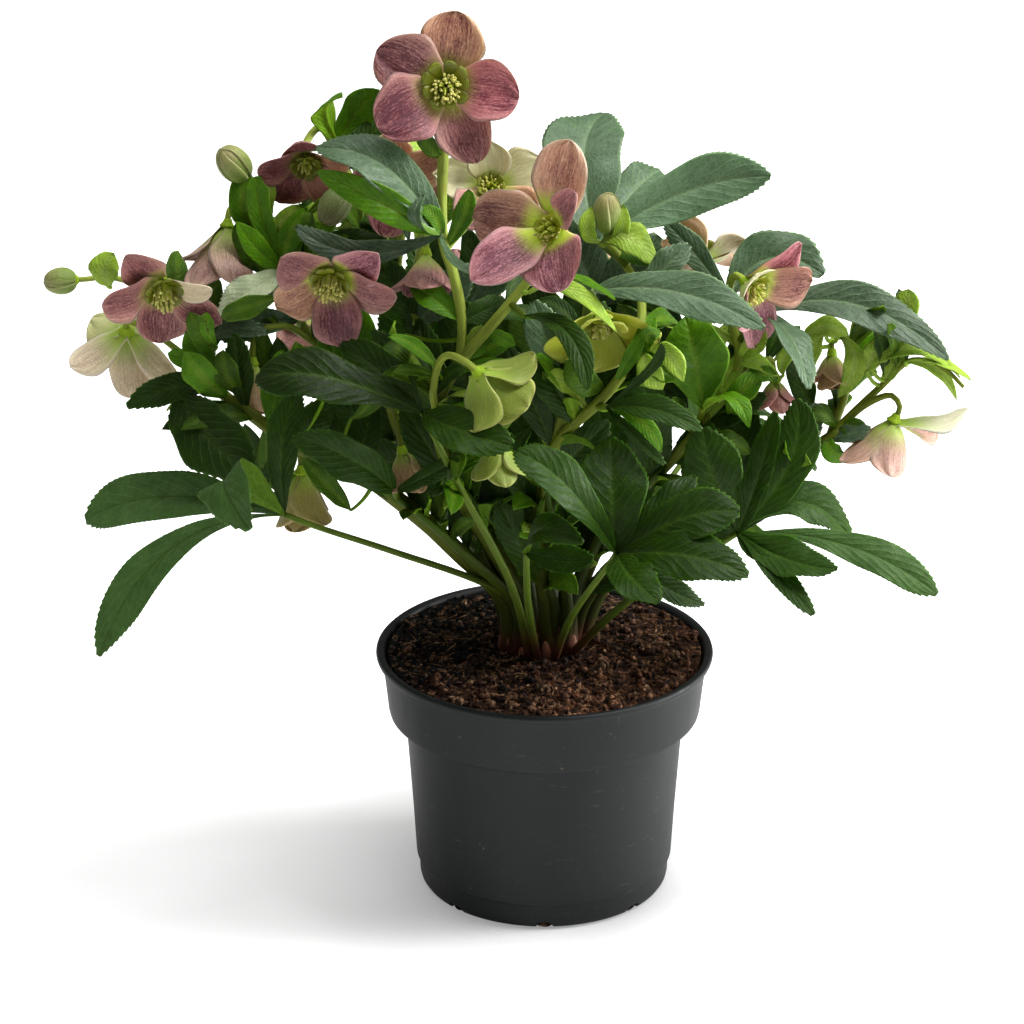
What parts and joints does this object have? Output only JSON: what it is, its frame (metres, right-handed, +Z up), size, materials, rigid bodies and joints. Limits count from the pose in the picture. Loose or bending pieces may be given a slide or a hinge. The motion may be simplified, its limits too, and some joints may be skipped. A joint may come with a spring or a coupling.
{
  "type": "potted hellebore plant",
  "caption": "Hellebore in flower with mauve, pink and lime blooms over palmate leaves, growing in a dark moulded plastic nursery pot filled with peat.",
  "frame": {"origin": "on the ground, at the centre of the pot's flat foot", "axes": "+Z up along the pot's axis, -Y to the front that most flowers face, +X to the plant's right as seen from the front"},
  "size_m": [0.3667, 0.2544, 0.3838],
  "materials": {
    "pot_plastic": "matte moulded, fine scuffs",
    "peat": "granular, matte",
    "rhizome": "rough, matte",
    "stem": "smooth waxy, ribbed",
    "dark_leaf": "veined, satin, silvery sheen",
    "blue_leaf": "veined, satin",
    "bright_leaf": "veined, satin, light shows through",
    "mauve_sepal": "net-veined petal, matte",
    "pink_sepal": "net-veined petal, matte",
    "tan_sepal": "net-veined petal, matte",
    "lime_sepal": "veined petal, matte",
    "pale_sepal": "net-veined petal, matte"
  },
  "bodies": {
    "root": {"pot": "pot_plastic", "crown": "rhizome", "soil": "peat", "stem_front_tall": "stem", "stem_centre": "stem", "stem_right": "stem", "stem_far_right": "stem", "stem_left_tall": "stem", "stem_low_left": "stem", "stem_back_left": "stem", "stem_back_right": "stem", "stem_back_centre": "stem", "flower_top": "mauve_sepal", "flower_front": "mauve_sepal", "flower_left": "pink_sepal", "flower_far_left": "mauve_sepal", "flower_pale_left": "pale_sepal", "flower_dark_nodding": "mauve_sepal", "flower_pale_side": "pale_sepal", "flower_upright": "pale_sepal", "flower_behind_leaf": "mauve_sepal", "flower_inner": "mauve_sepal", "flower_right": "pink_sepal", "flower_peach": "tan_sepal", "flower_far_right": "pale_sepal", "flower_right_bracts": "tan_sepal", "flower_right_small": "pink_sepal", "flower_lime": "lime_sepal", "flower_bell": "lime_sepal", "flower_globe": "lime_sepal", "flower_low_left": "tan_sepal", "flower_cream": "tan_sepal", "flower_brown": "tan_sepal", "flower_back_left": "mauve_sepal", "flower_back_centre": "mauve_sepal", "flower_back_right": "pink_sepal", "bud_far_left": "lime_sepal", "bud_left": "lime_sepal", "bud_centre": "lime_sepal", "bud_behind_leaf": "lime_sepal", "leaf_low_left": "dark_leaf", "leaf_large_left": "dark_leaf", "leaf_centre_left": "dark_leaf", "leaf_under_left": "dark_leaf", "leaf_curled_left": "bright_leaf", "leaf_under_top_flower": "blue_leaf", "leaf_top_right": "blue_leaf", "leaf_behind_right": "blue_leaf", "leaf_long_right": "blue_leaf", "leaf_drooping": "dark_leaf", "leaf_far_right": "blue_leaf", "leaf_low_right": "dark_leaf", "leaf_front": "dark_leaf", "leaf_young_front": "dark_leaf", "leaf_bright": "bright_leaf", "leaf_centre": "dark_leaf", "leaf_upper_left": "bright_leaf", "leaf_behind_far_left": "blue_leaf", "leaf_back_left": "dark_leaf", "leaf_back_right": "dark_leaf"}
  },
  "joints": []
}
